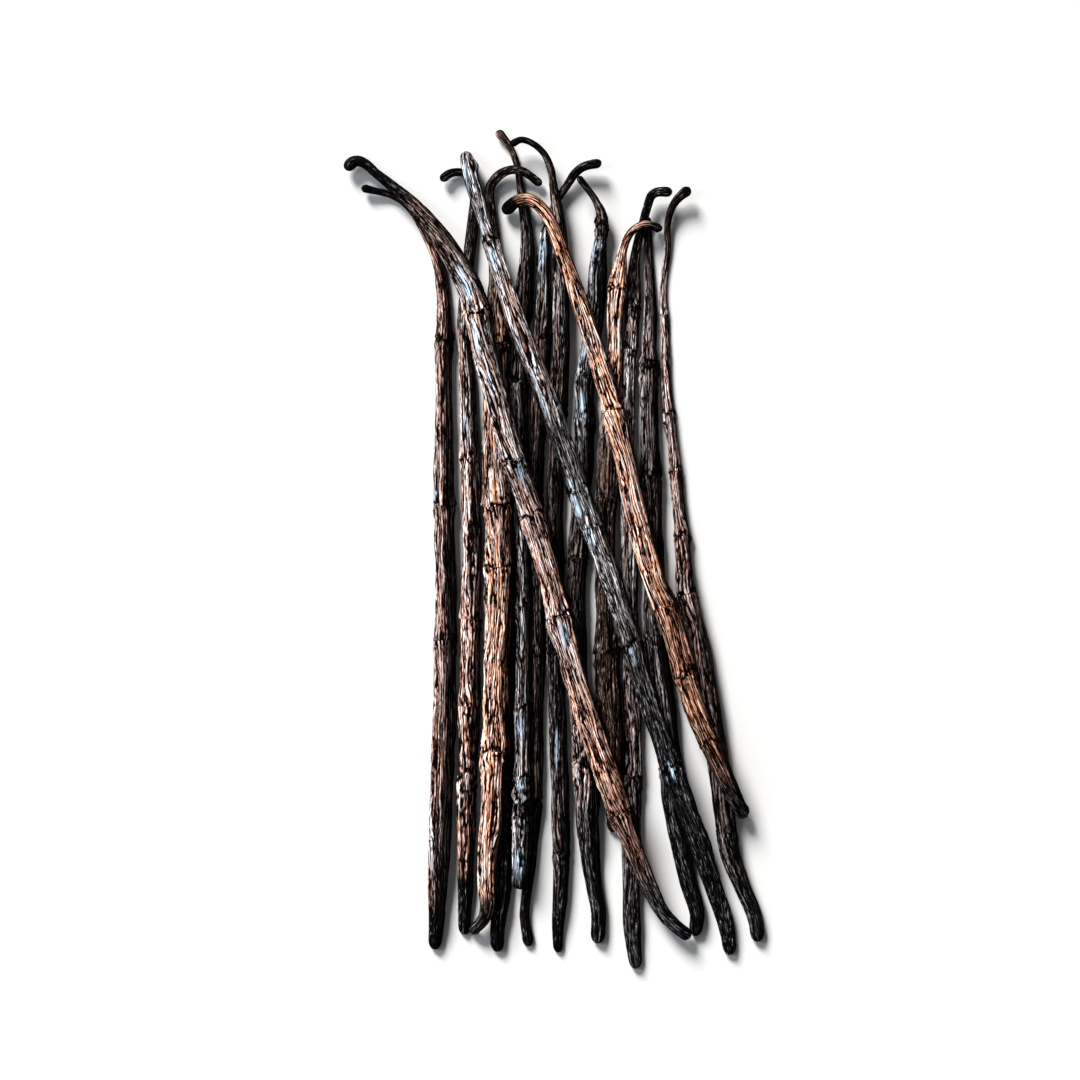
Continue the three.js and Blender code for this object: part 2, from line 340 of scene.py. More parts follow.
class ToneGroup:
    """Shader group colouring a wrinkled skin from relief and tones, with painted shade and highlights."""

    MASKS = ("Relief", "Warmth", "Pale", "Sheen", "Lit", "Fibre", "Streak", "Blotch", "Nick", "Wrinkle")
    COLOURS = ("Furrow", "Body", "Warm", "Crest", "Pale Crest", "Taut")
    OUTPUTS = {"Color": COLOUR, "Height": FLOAT, "Gloss": FLOAT}
    RELIEF_SHARE = 0.5
    WRINKLE_SHARE = 0.5
    GRAIN_SHARE = 0.8
    NICK_SHARE = 0.24
    MIDDLE = 0.5
    GROOVE = (0.43, 0.57)
    CREST = (0.55, 0.7)
    STREAK = (0.34, 0.56)
    UNBROKEN = (0.4, 0.54)
    BLOOM = (0.34, 0.58)
    RAISED = (0.5, 0.7)
    GLINT = (0.56, 0.7)
    SMOOTH = (0.3, 0.64)
    PATCHY = (0.3, 0.5)
    LEAST_STREAK = 0.4
    LEAST_CREST_STREAK = 0.3
    LEAST_UNBROKEN = 0.2
    LEAST_BLOOM = 0.3
    GLINT_PALENESS = 0.3

    @classmethod
    def build(cls) -> bpy.types.NodeTree:
        """Builds the group.

        Returns:
            The group's node tree, with Color, Height and Gloss out.
        """
        inputs = {name: FLOAT for name in cls.MASKS} | {name: COLOUR for name in cls.COLOURS}
        graph, given, result = new_group("skin_tone", inputs, cls.OUTPUTS)
        g = given.outputs
        large = graph.times(g["Relief"], cls.RELIEF_SHARE)
        fine = graph.math("MULTIPLY_ADD", g["Wrinkle"], cls.WRINKLE_SHARE, large)
        grain = graph.math("SUBTRACT", g["Fibre"], cls.MIDDLE)
        grained = graph.math("MULTIPLY_ADD", grain, cls.GRAIN_SHARE, fine)
        nick = graph.math("SUBTRACT", g["Nick"], cls.MIDDLE)
        height = graph.math("MULTIPLY_ADD", nick, cls.NICK_SHARE, grained)
        # Painted shade: the furrows go black. Painted highlight: the crests go pale.
        out_of_groove = graph.ramp(height, *cls.GROOVE)
        crest = graph.ramp(height, *cls.CREST)
        streak = graph.ramp(g["Streak"], *cls.STREAK)
        unbroken = graph.ramp(g["Nick"], *cls.UNBROKEN)
        streaked = graph.lifted(streak, cls.LEAST_STREAK)
        browned = graph.mix(graph.times(g["Warmth"], streaked, clamp=True), g["Body"], g["Warm"])
        lengthwise = graph.times(crest, graph.lifted(streak, cls.LEAST_CREST_STREAK))
        light = graph.times(lengthwise, graph.lifted(unbroken, cls.LEAST_UNBROKEN))
        bright = graph.times(light, g["Warmth"], clamp=True)
        crested = graph.mix(bright, browned, g["Crest"])
        bloom = graph.times(g["Pale"], graph.ramp(g["Fibre"], *cls.BLOOM), clamp=True)
        pale = graph.times(graph.lifted(crest, cls.LEAST_BLOOM), bloom)
        # Painted glints: grey-white specks on the high points of the lit side.
        raised = graph.times(g["Lit"], graph.ramp(height, *cls.RAISED))
        painted_glint = graph.times(raised, graph.ramp(g["Fibre"], *cls.GLINT))
        dusted = graph.math("MULTIPLY_ADD", painted_glint, cls.GLINT_PALENESS, pale, clamp=True)
        rutted = graph.mix(out_of_groove, g["Furrow"], graph.mix(dusted, crested, g["Pale Crest"]))
        # Painted sky reflection: a bluish colour on the smooth patches.
        smooth = graph.times(g["Sheen"], graph.ramp(height, *cls.SMOOTH), clamp=True)
        taut = graph.times(smooth, streaked)
        patchy = graph.times(taut, graph.ramp(g["Blotch"], *cls.PATCHY))
        coloured = graph.mix(patchy, rutted, g["Taut"])
        dull_gloss = graph.math("MAXIMUM", painted_glint, graph.times(crest, bloom))
        gloss = graph.math("MAXIMUM", taut, dull_gloss)
        graph.feed_all(result.inputs, (coloured, out_of_groove, gloss))
        return graph.tree


@dataclass(frozen=True)
class SkinFinish:
    """The finish of a dried pod's skin."""

    slot: str
    # The furrow colour is painted shade in the grooves and the crest colour a painted highlight on the ridge
    # tops.
    furrow: Colour
    body: Colour
    warm: Colour
    crest: Colour
    pale_crest: Colour
    # The bluish patch colour is a painted reflection of the sky on the smooth patches.
    taut: Colour
    crest_roughness: float = 0.5
    furrow_roughness: float = 0.9
    specular: float = 0.03
    grain_depth: float = 0.1
    gloss_smoothing: float = 0.15
    wax: float = 0.35
    wax_roughness: float = 0.3

    def material(self, fibre: bpy.types.NodeTree, tone: bpy.types.NodeTree) -> bpy.types.Material:
        """Builds the material.

        Args:
            fibre: The fine grain's group.
            tone: The colouring group.

        Returns:
            The finished material.
        """
        made = bpy.data.materials.new(self.slot)
        made.use_nodes = True
        graph = Graph(made.node_tree)
        shader = graph.tree.nodes["Principled BSDF"]
        grain = graph.add("ShaderNodeGroup", node_tree=fibre)
        graph.feed(grain.inputs["Place"], self.attribute(graph, "place", "Vector"))
        skin = graph.add("ShaderNodeGroup", node_tree=tone)
        for name in ("Relief", "Warmth", "Pale", "Sheen", "Lit"):
            graph.feed(skin.inputs[name], self.attribute(graph, name.lower(), "Fac"))
        for name in ("Fibre", "Streak", "Blotch", "Nick", "Wrinkle"):
            graph.feed(skin.inputs[name], grain.outputs[name])
        for name in ("furrow", "body", "warm", "crest", "pale_crest", "taut"):
            graph.feed(skin.inputs[name.replace("_", " ").title()], getattr(self, name))
        drop = self.crest_roughness - self.furrow_roughness
        gloss = skin.outputs["Gloss"]
        rough = graph.math("MULTIPLY_ADD", skin.outputs["Height"], drop, self.furrow_roughness)
        smoothed = graph.math("MULTIPLY_ADD", gloss, -self.gloss_smoothing, rough)
        graph.feed(shader.inputs["Roughness"], smoothed)
        graph.feed(shader.inputs["Base Color"], skin.outputs["Color"])
        graph.feed(shader.inputs["Coat Weight"], graph.times(gloss, self.wax))
        shader.inputs["Coat Roughness"].default_value = self.wax_roughness
        shader.inputs["Specular IOR Level"].default_value = self.specular
        bump = graph.add("ShaderNodeBump")
        bump.inputs["Strength"].default_value = 1.0
        bump.inputs["Distance"].default_value = self.grain_depth * MM
        graph.feed(bump.inputs["Height"], grain.outputs["Height"])
        graph.feed(shader.inputs["Normal"], bump.outputs["Normal"])
        return made

    @staticmethod
    def attribute(graph: Graph, name: str, output: str) -> Socket:
        """Reads one of the mesh's own attributes.

        Args:
            graph: The material's graph.
            name: The attribute's name.
            output: Which of the node's outputs to use.

        Returns:
            The output socket.
        """
        return graph.add("ShaderNodeAttribute", attribute_name=name).outputs[output]


class Skin(Enum):
    """The four skins in the heap, from the darkest to the lightest."""

    BLACK = SkinFinish(
        slot="black_skin", furrow=srgb(0, 0, 0), body=srgb(4, 3, 3), warm=srgb(90, 57, 45),
        crest=srgb(184, 156, 143), pale_crest=srgb(206, 209, 216), taut=srgb(170, 190, 214),
    )
    DARK_BROWN = SkinFinish(
        slot="dark_brown_skin", furrow=srgb(0, 0, 0), body=srgb(5, 4, 3), warm=srgb(150, 86, 62),
        crest=srgb(244, 214, 199), pale_crest=srgb(222, 225, 231), taut=srgb(172, 192, 214),
    )
    GREY_BROWN = SkinFinish(
        slot="grey_brown_skin", furrow=srgb(0, 0, 0), body=srgb(7, 6, 6), warm=srgb(176, 108, 78),
        crest=srgb(246, 212, 191), pale_crest=srgb(223, 227, 233), taut=srgb(168, 190, 214),
    )
    TAN = SkinFinish(
        slot="tan_skin", furrow=srgb(1, 0, 0), body=srgb(8, 5, 4), warm=srgb(226, 136, 88),
        crest=srgb(252, 220, 192), pale_crest=srgb(234, 234, 236), taut=srgb(172, 190, 212),
    )


@dataclass
class Course:
    """Where a pod runs, read from its CAD solid: the middle and half width of each section."""

    middles: Array
    half_widths: Array
    SIDES = 10
    END_SECTIONS = 3

    @classmethod
    def of_node(cls, name: str) -> "Course":
        """Reads a pod's course from the frame.

        Args:
            name: The pod's CAD node.

        Returns:
            The course, in millimetres, from the stem end to the tip.
        """
        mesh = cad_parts[name].data
        corners = np.array([v.co for v in mesh.vertices]) / MM
        places, merged = np.unique(corners.round(4), axis=0, return_inverse=True)
        merged = merged.ravel()
        neighbours: list[set[int]] = [set() for _ in places]
        for polygon in mesh.polygons:
            ring = [int(merged[v]) for v in polygon.vertices]
            for a, b in zip(ring, ring[1:] + ring[:1]):
                neighbours[a].add(b)
                neighbours[b].add(a)
        ends = [i for i, near in enumerate(neighbours) if len(near) == cls.SIDES]
        layers = [[max(ends, key=lambda i: places[i][1])]]
        seen = set(layers[0])
        while len(seen) < len(places):
            layer = sorted({n for i in layers[-1] for n in neighbours[i]} - seen)
            seen.update(layer)
            layers.append(layer)
        return cls.of_layers([places[layer] for layer in layers])

    @classmethod
    def of_layers(cls, layers: list[Array]) -> "Course":
        """Works out a course from the corners of its sections.

        Args:
            layers: The corners of each section, the ends among them.

        Returns:
            The course.
        """
        rough = np.array([layer.mean(axis=0) for layer in layers])
        along = np.gradient(rough, axis=0)
        side = np.cross(along, (0.0, 0.0, 1.0))
        side /= np.linalg.norm(side, axis=1)[:, None]
        middles, widths = [], []
        for layer, across in zip(layers, side):
            reach = layer @ across
            near, far = layer[reach.argmin()], layer[reach.argmax()]
            middles.append((near + far) / 2)
            widths.append((reach.max() - reach.min()) / 2)
        return cls(np.array(middles), np.array(widths))

    @property
    def distances(self) -> Array:
        """Distance of each section from the stem end."""
        steps = np.linalg.norm(np.diff(self.middles, axis=0), axis=1)
        return np.concatenate([[0.0], np.cumsum(steps)])

    @property
    def length(self) -> float:
        """Length along the bends."""
        return float(self.distances[-1])

    def middle_at(self, wanted: Array) -> Array:
        """Finds places on the course by smooth curves through its sections.

        Args:
            wanted: Distances from the stem end.

        Returns:
            The places.
        """
        known = self.distances
        slopes = np.gradient(self.middles, known, axis=0)
        i = np.clip(np.searchsorted(known, wanted) - 1, 0, len(known) - 2)
        step = (known[i + 1] - known[i])[:, None]
        t = ((wanted - known[i])[:, None] / step)
        start = (1 + 2 * t) * (1 - t) ** 2 * self.middles[i] + t * (1 - t) ** 2 * step * slopes[i]
        end = t**2 * (3 - 2 * t) * self.middles[i + 1] + t**2 * (t - 1) * step * slopes[i + 1]
        return start + end

    def half_width_at(self, wanted: Array) -> Array:
        """Finds the pod's half width, before its ends are rounded.

        Args:
            wanted: Distances from the stem end.

        Returns:
            The half widths.
        """
        body = slice(self.END_SECTIONS, -self.END_SECTIONS)
        return np.interp(wanted, self.distances[body], self.half_widths[body])

    def distance_of(self, across_heap: float) -> float:
        """Finds how far along the pod a place in the heap is.

        Args:
            across_heap: The place's Y in the heap.

        Returns:
            The distance from the stem end.
        """
        fine = np.linspace(self.length, 0.0, 2000)
        ys = self.middle_at(fine)[:, 1]
        return float(fine[np.abs(ys - across_heap).argmin()])


@dataclass
class SkinFields:
    """Smooth random fields over a pod's skin, read at the mesh's corners."""

    rng: np.random.Generator
    length: float
    distance: Array
    STEP = 0.3
    ANGLES = 512
    SPARE = 60.0

    def field(self, angle: Array, waves_round: float, wave_along: float, spread: float) -> Array:
        """Makes a field whose crests run lengthwise.

        Args:
            angle: The corners' angles, in radians.
            waves_round: Waves in one turn round the pod.
            wave_along: Length over which the field changes, along the pod.
            spread: How much waves_round varies, as a part of it plus one wave.

        Returns:
            The field at the corners, with a mean of 0 and a spread of 1.
        """
        made = self.waves(waves_round, wave_along, spread).real
        made -= made.mean()
        return self.read(made / made.std(), angle)

    def ridges(self, angle: Array, waves_round: float, wave_along: float, spread: float) -> Array:
        """Makes a field of long ridges that are all as high, and that fork and end here and there.

        Args:
            angle: The corners' angles, in radians.
            waves_round: Ridges in one turn round the pod.
            wave_along: Length over which the field changes, along the pod.
            spread: How much waves_round varies, as a part of it plus one wave.

        Returns:
            The field at the corners, from 0 in the grooves to 1 on the crests.
        """
        made = self.waves(waves_round, wave_along, spread)
        return self.read((1 + made.real / np.abs(made)) / 2, angle)

    def waves(self, waves_round: float, wave_along: float, spread: float) -> Array:
        """Filters noise down to waves of one kind.

        Args:
            waves_round: Waves in one turn round the pod.
            wave_along: Length over which they change, along the pod.
            spread: How much waves_round varies, as a part of it plus one wave.

        Returns:
            The complex waves, whose absolute value is their strength.
        """
        rows = int((self.length + self.SPARE) / self.STEP)
        white = self.rng.standard_normal((rows, self.ANGLES))
        along = np.fft.fftfreq(rows, self.STEP)[:, None]
        turns = np.fft.fftfreq(self.ANGLES, 1 / self.ANGLES)[None, :]
        band = np.exp(-0.5 * ((turns - waves_round) / (spread * (waves_round + 1))) ** 2)
        return np.fft.ifft2(np.fft.fft2(white) * band * np.exp(-0.5 * (along * wave_along) ** 2))

    def read(self, field: Array, angle: Array) -> Array:
        """Reads a field at the corners, between its grid's points.

        Args:
            field: The field, by distance and angle.
            angle: The corners' angles, in radians.

        Returns:
            The field's values.
        """
        row = self.distance / self.STEP
        column = (angle / math.tau) % 1.0 * self.ANGLES
        r0 = np.clip(np.floor(row).astype(int), 0, field.shape[0] - 2)
        c0 = np.floor(column).astype(int) % self.ANGLES
        c1 = (c0 + 1) % self.ANGLES
        fr, fc = row - r0, column - np.floor(column)
        low = field[r0, c0] * (1 - fc) + field[r0, c1] * fc
        high = field[r0 + 1, c0] * (1 - fc) + field[r0 + 1, c1] * fc
        return low * (1 - fr) + high * fr


def hill(off: Array) -> Array:
    """A smooth hill that is 1 in its middle."""
    return np.exp(-(off**2))


@dataclass(frozen=True)
class Joint:
    """A joint, where a pod swells and a crease runs part of the way round, darkened with painted shade."""

    at: float
    depth: float = 0.4
    swelling: float = 0.2
    side: float = 70.0


@dataclass(frozen=True)
class Beads:
    """A stretch where the skin is gathered into small cross wrinkles."""

    at: float
    reach: float
    depth: float = 0.18


@dataclass(frozen=True)
class Patch:
    """A stretch where the skin is smooth and shines, on one side of a pod; its bluish colour is a painted
    sky reflection.
    """

    at: float
    angle: float
    length: float
    width: float


@dataclass(frozen=True)
class Mark:
    """A small lump or pit on one side of a pod."""

    at: float
    angle: float
    reach: float
    height: float


@dataclass
class Pod:
    """One cured pod. Places along it are given by their Y in the heap.

    Each tone is a place with its warmth and its paleness. Each random field's constants are its waves
    in one turn, its length and its spread; a field that follows the girth takes its waves from that.
    """

    node: str
    skin: Skin
    tones: tuple[Triple, ...]
    joints: tuple[Joint, ...] = ()
    beads: tuple[Beads, ...] = ()
    patches: tuple[Patch, ...] = ()
    marks: tuple[Mark, ...] = ()
    twist: float = 0.006
    ridge_depth: float = 0.36
    fold_depth: float = 0.34
    # Angle of the side painted lighter, as if lit from there; the far side fades to painted shade.
    lit_side_angle: float = 142.0
    shade_side_floor: float = 0.03
    dark_stem: float = 0.0
    evenness: float = 0.0
    seed: int = 1

    FLATNESS = 0.86
    USUAL_RADIUS = 2.4
    RIDGE_SPACING = 0.7
    STRAND_DEPTH = 0.1
    LIT_FROM = 0.15
    LIT_FULL = 0.75
    DARK_STEM_FADE = 3.0
    EVEN_RELIEF = 0.72
    SECTIONS = 380
    CAP_SECTIONS = 9
    AROUND = 80
    TOP_DENSITY = 0.42
    BLUNTNESS = 2.0
    CAP_LENGTH = 1.6
    STEM_KNOB = 0.2
    STEM_KNOB_REACH = 1.6
    TIP_KNOB = 0.1
    TIP_KNOB_REACH = 2.6
    FINE_STEPS = 4000
    CREASE_DENSITY = 3.0
    CREASE_ROOM = 1.6
    DRIFT = (1.0, 40.0, 0.5)
    WAVER = (3.0, 14.0, 0.5)
    RIDGES = (24.0, 0.35)
    STRANDS = (13.0, 0.3)
    FOLDS = (4.5, 38.0, 0.4)
    TINT = (26.0, 0.3)
    GREY = (20.0, 0.4)
    LUMPS = (1.0, 16.0, 0.6)
    SLACK = (1.5, 24.0, 0.5)
    GATHER = (4.0, 2.4, 0.5)
    TATTER = (2.0, 5.0, 0.5)
    STRANDS_PER_RIDGE = 1.7
    TINTS_PER_RIDGE = 0.5
    GREYS_PER_RIDGE = 0.35
    DRIFT_TURN = 0.14
    WAVER_TURN = 0.06
    JOINT_TURN = 1.0
    FULLNESS = 0.7
    LUMP_HEIGHT = 0.045
    FOLD_LEVEL = 0.75
    RIDGE_LEVEL = 0.85
    PATCH_TATTER = 0.35
    PATCH_CALM = 0.6
    SWELLING_REACH = 2.4
    CREASE_REACH = 0.5
    SHADE_REACH = 0.6
    USUAL_CREASE = 0.4
    SHADE = 0.9
    LIT_TATTER = 0.12
    RELIEF_GAIN = 1.25
    SEED_SHIFT = 37.0

    def angles(self) -> Array:
        """Angles of a section's corners, closer together on top than below.

        Returns:
            The angles in radians, with a quarter turn being straight up.
        """
        even = np.arange(self.AROUND) / self.AROUND * math.tau
        return even + self.TOP_DENSITY * np.cos(even)

    def sections(self, course: Course) -> Array:
        """Distances of the sections, closer together in the rounded ends.

        Args:
            course: The pod's course.

        Returns:
            The distances from the stem end, without the two end points.
        """
        first, last = self.CAP_LENGTH * course.half_width_at(np.array([0.0, course.length]))
        turn = np.linspace(0, math.pi / 2, self.CAP_SECTIONS + 2)[1:-1]
        opening = first * (1 - np.cos(turn))
        closing = course.length - last * (1 - np.cos(turn))
        fine = np.linspace(first, course.length - last, self.FINE_STEPS)
        density = np.ones_like(fine)
        for joint in self.joints:
            density += self.CREASE_DENSITY * hill((fine - course.distance_of(joint.at)) / self.CREASE_ROOM)
        for beads in self.beads:
            density += hill((fine - course.distance_of(beads.at)) / beads.reach)
        so_far = np.cumsum(density)
        wanted = np.linspace(so_far[0], so_far[-1], self.SECTIONS)
        return np.concatenate([opening, np.interp(wanted, so_far, fine), closing[::-1]])

    def rounding(self, distance: Array, course: Course) -> Array:
        """How far the ends are drawn in.

        Args:
            distance: Distances from the stem end.
            course: The pod's course.

        Returns:
            The part of the full radius that is left, 0 to 1.
        """
        full = self.CAP_LENGTH * course.half_width_at(distance)
        from_end = np.minimum(distance, course.length - distance)
        t = np.clip(from_end / full, 0, 1)
        return (1 - (1 - t) ** self.BLUNTNESS) ** (1 / self.BLUNTNESS)

    def knobs(self, distance: Array, course: Course) -> Array:
        """How much the two ends swell into small knobs.

        Args:
            distance: Distances from the stem end.
            course: The pod's course.

        Returns:
            The extra radius, as a part of the radius.
        """
        stem = self.STEM_KNOB * hill(distance / self.STEM_KNOB_REACH)
        return stem + self.TIP_KNOB * hill((course.length - distance) / self.TIP_KNOB_REACH)

    def tone_at(self, distance: Array, course: Course) -> tuple[Array, Array]:
        """Finds the warmth and paleness along the pod.

        Args:
            distance: Distances from the stem end.
            course: The pod's course.

        Returns:
            The warmth and the paleness, each from 0 to 1.
        """
        stops = sorted((course.distance_of(at), warmth, pale) for at, warmth, pale in self.tones)
        where, warmths, pales = zip(*stops)
        past_stem = np.ones_like(distance)
        if self.dark_stem:
            past_stem = np.clip((distance - self.dark_stem) / self.DARK_STEM_FADE, 0, 1)
        return past_stem * np.interp(distance, where, warmths), past_stem * np.interp(distance, where, pales)

    def build(self, materials: dict[Skin, bpy.types.Material]) -> bpy.types.Object:
        """Makes the pod's mesh, dresses it and ties it to the frame.

        Args:
            materials: The material of each skin.

        Returns:
            The finished piece.
        """
        course = Course.of_node(self.node)
        sections = self.sections(course)
        distance, angle = np.meshgrid(sections, self.angles(), indexing="ij")
        fields = SkinFields(np.random.default_rng(self.seed), course.length, distance)
        radius, layers = self.surface(course, fields, angle)
        rings = self.place(course, sections, angle, radius)
        ends = course.middle_at(np.array([0.0, course.length]))
        piece = self.mesh_of(rings, ends)
        self.write_layers(piece.data, layers)
        piece.data.materials.append(materials[self.skin])
        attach(piece, "root")
        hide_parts(self.node)
        LOG.info("%s: %.0f mm long, %d faces", piece.name, course.length, len(piece.data.polygons))
        return piece

    @staticmethod
    def swing(angle: Array, middle: float) -> Array:
        """Turns angles into ones from a middle in degrees, up to half a turn each way."""
        return (angle - math.radians(middle) + math.pi) % math.tau - math.pi

    def surface(
        self, course: Course, fields: SkinFields, angle: Array
    ) -> tuple[Array, dict[str, Array]]:
        """Works out the wrinkled skin.

        Args:
            course: The pod's course.
            fields: Where its random fields come from.
            angle: Angles round the pod, one for each corner.

        Returns:
            The radius at each corner, and the attributes that the material reads.
        """
        distance = fields.distance
        full = course.half_width_at(distance)
        scale = full / self.USUAL_RADIUS
        count = math.tau * float(np.median(full)) / self.RIDGE_SPACING
        drift = fields.field(angle, *self.DRIFT)
        waver = fields.field(angle, *self.WAVER)
        turned = angle + self.twist * distance + self.DRIFT_TURN * drift + self.WAVER_TURN * waver
        for joint in self.joints:
            turned = turned + np.where(distance > course.distance_of(joint.at), self.JOINT_TURN, 0.0)
        ridges = fields.ridges(turned, count, *self.RIDGES) ** self.FULLNESS
        strands = fields.ridges(turned, self.STRANDS_PER_RIDGE * count, *self.STRANDS) ** self.FULLNESS
        folds = fields.ridges(turned, *self.FOLDS) ** self.FULLNESS
        tint = fields.field(turned, self.TINTS_PER_RIDGE * count, *self.TINT)
        grey = fields.field(turned, self.GREYS_PER_RIDGE * count, *self.GREY)
        lumps = fields.field(angle, *self.LUMPS)
        slack = np.clip(0.9 + 0.25 * fields.field(angle, *self.SLACK), 0.5, 1.2)
        gather = fields.field(angle, *self.GATHER)
        tatter = fields.field(angle, *self.TATTER)
        sheen = np.zeros_like(distance)
        # The smooth patches calm the wrinkles, and the material paints a bluish sky reflection on them.
        for patch in self.patches:
            off = (distance - course.distance_of(patch.at)) / (patch.length / 2)
            across = self.swing(angle, patch.angle) * full / (patch.width / 2)
            edge = off**2 + across**2 + self.PATCH_TATTER * grey
            sheen = np.maximum(sheen, np.clip(1.3 - 0.8 * edge, 0, 1))
        loose = scale * (1 - self.PATCH_CALM * sheen)
        change = full * (self.LUMP_HEIGHT * lumps + self.knobs(distance, course))
        change += loose * self.fold_depth * (folds - self.FOLD_LEVEL)
        change += loose * slack * self.ridge_depth * (ridges - self.RIDGE_LEVEL)
        change += loose * self.STRAND_DEPTH * (strands - self.RIDGE_LEVEL)
        crease = np.zeros_like(distance)
        raised = np.zeros_like(distance)
        for joint in self.joints:
            off = distance - course.distance_of(joint.at) - 0.4 * drift - 0.7 * gather
            broken = np.clip(0.25 + 0.65 * np.cos(angle - math.radians(joint.side)) + 0.5 * tatter, 0, 1)
            change += joint.swelling * hill(off / self.SWELLING_REACH) * (1 + 0.5 * gather)
            change -= joint.depth * (0.2 + 0.8 * broken) * hill(off / self.CREASE_REACH)
            # The crease's darkening is painted shade.
            shade = joint.depth / self.USUAL_CREASE * broken * hill(off / self.SHADE_REACH)
            crease = np.maximum(crease, shade)
        # In the beads, the valleys get painted shade and the tops painted highlight.
        for beads in self.beads:
            inside = hill((distance - course.distance_of(beads.at)) / beads.reach)
            change += inside * beads.depth * np.clip(gather, -1.2, 1.0)
            crease = np.maximum(crease, inside * np.clip(-1.4 * gather, 0, 1))
            raised = np.maximum(raised, inside * np.clip(1.3 * gather - 0.3, 0, 1))
        for mark in self.marks:
            off = distance - course.distance_of(mark.at)
            across = self.swing(angle, mark.angle) * full
            change += mark.height * np.exp(-(off**2 + across**2) / mark.reach**2)

        warmth, pale = self.tone_at(distance, course)
        # Painted light and shade: the side facing that angle is lighter, and the warm and pale tones fade
        # out towards the far, shaded side.
        facing = np.cos(angle - math.radians(self.lit_side_angle)) - self.LIT_FROM
        lit_ramp = facing / (self.LIT_FULL - self.LIT_FROM) + self.LIT_TATTER * tint
        lit_share = np.clip(lit_ramp, self.shade_side_floor, 1)
        # Relief sets the colour, so the furrows get painted shade and the crests painted highlight.
        relief = self.RELIEF_GAIN * (0.7 * ridges + 0.3 * strands) * (0.45 + 0.55 * folds)
        relief += self.evenness * (self.EVEN_RELIEF - relief)
        relief *= 1 - self.SHADE * np.clip(crease, 0, 1)
        layers = {
            "relief": np.clip(np.maximum(relief, raised), 0, 1),
            "warmth": np.clip(lit_share * warmth * (0.8 + 0.4 * tint), 0, 1),
            "pale": np.clip(lit_share * pale * (0.7 + 0.6 * grey), 0, 1),
            "sheen": sheen,
            "lit": lit_share,
        }
        shift = self.SEED_SHIFT * self.seed
        straight = (full * np.cos(turned) + shift, distance, full * np.sin(turned))
        layers["place"] = np.stack(straight, axis=-1)
        return (full + change) * self.rounding(distance, course), layers

    def place(
        self, course: Course, sections: Array, angle: Array, radius: Array
    ) -> Array:
        """Bends the skin along the pod's course.

        Args:
            course: The pod's course.
            sections: The sections' distances from the stem end.
            angle: The corners' angles.
            radius: The corners' radii.

        Returns:
            The corners' places, by section and angle, none below the floor.
        """
        middle = course.middle_at(sections)
        along = np.gradient(middle, sections, axis=0)
        along /= np.linalg.norm(along, axis=1)[:, None]
        side = np.cross(along, (0.0, 0.0, 1.0))
        side /= np.linalg.norm(side, axis=1)[:, None]
        up = np.cross(side, along)
        across = (radius * np.cos(angle))[..., None] * -side[:, None, :]
        rise = (radius * np.sin(angle) * self.FLATNESS)[..., None] * up[:, None, :]
        corners = middle[:, None, :] + across + rise
        corners[..., 2] = np.maximum(corners[..., 2], 0.0)
        return corners

    def mesh_of(self, rings: Array, ends: Array) -> bpy.types.Object:
        """Makes the piece's closed mesh.

        Args:
            rings: The corners by section and angle, in millimetres.
            ends: The stem end's point and the tip's.

        Returns:
            The new object, linked into the scene.
        """
        count, around = rings.shape[:2]
        points = np.concatenate([rings.reshape(-1, 3), ends]) * MM
        row = np.arange(count - 1)[:, None] * around
        here = np.arange(around)[None, :]
        after = (here + 1) % around
        corners = (row + here, row + after, row + around + after, row + around + here)
        quads = np.stack(corners, axis=-1).reshape(-1, 4)
        last = (count - 1) * around
        stem, tip = count * around, count * around + 1
        here, after = here.ravel(), after.ravel()
        faces = quads.tolist()
        faces += [[stem, b, a] for a, b in zip(here.tolist(), after.tolist())]
        faces += [[tip, last + a, last + b] for a, b in zip(here.tolist(), after.tolist())]
        mesh = bpy.data.meshes.new(f"{self.node}_skin")
        mesh.from_pydata(points.tolist(), [], faces)
        mesh.polygons.foreach_set("use_smooth", [True] * len(mesh.polygons))
        return new_object(f"{self.node}_skin", mesh)

    @staticmethod
    def write_layers(mesh: bpy.types.Mesh, layers: dict[str, Array]) -> None:
        """Writes what the material reads into the mesh.

        Args:
            mesh: The pod's mesh, whose last two corners are its ends.
            layers: Values by attribute name, by section and angle.
        """
        for name, values in layers.items():
            if values.ndim == 3:
                flat = values.reshape(-1, 3)
                ends = [values[0].mean(axis=0), values[-1].mean(axis=0)]
                layer = mesh.attributes.new(name, "FLOAT_VECTOR", "POINT")
                layer.data.foreach_set("vector", np.concatenate([flat, ends]).ravel())
            else:
                ends = [values[0].mean(), values[-1].mean()]
                layer = mesh.attributes.new(name, "FLOAT", "POINT")
                layer.data.foreach_set("value", np.concatenate([values.ravel(), ends]))


@dataclass
class Heap:
    """All the pods of the bundle."""

    pods: tuple[Pod, ...]

    def build(self) -> None:
        """Builds every pod with its skin."""
        fibre, tone = FibreGroup.build(), ToneGroup.build()
        materials = {skin: skin.value.material(fibre, tone) for skin in Skin}
        for pod in self.pods:
            pod.build(materials)


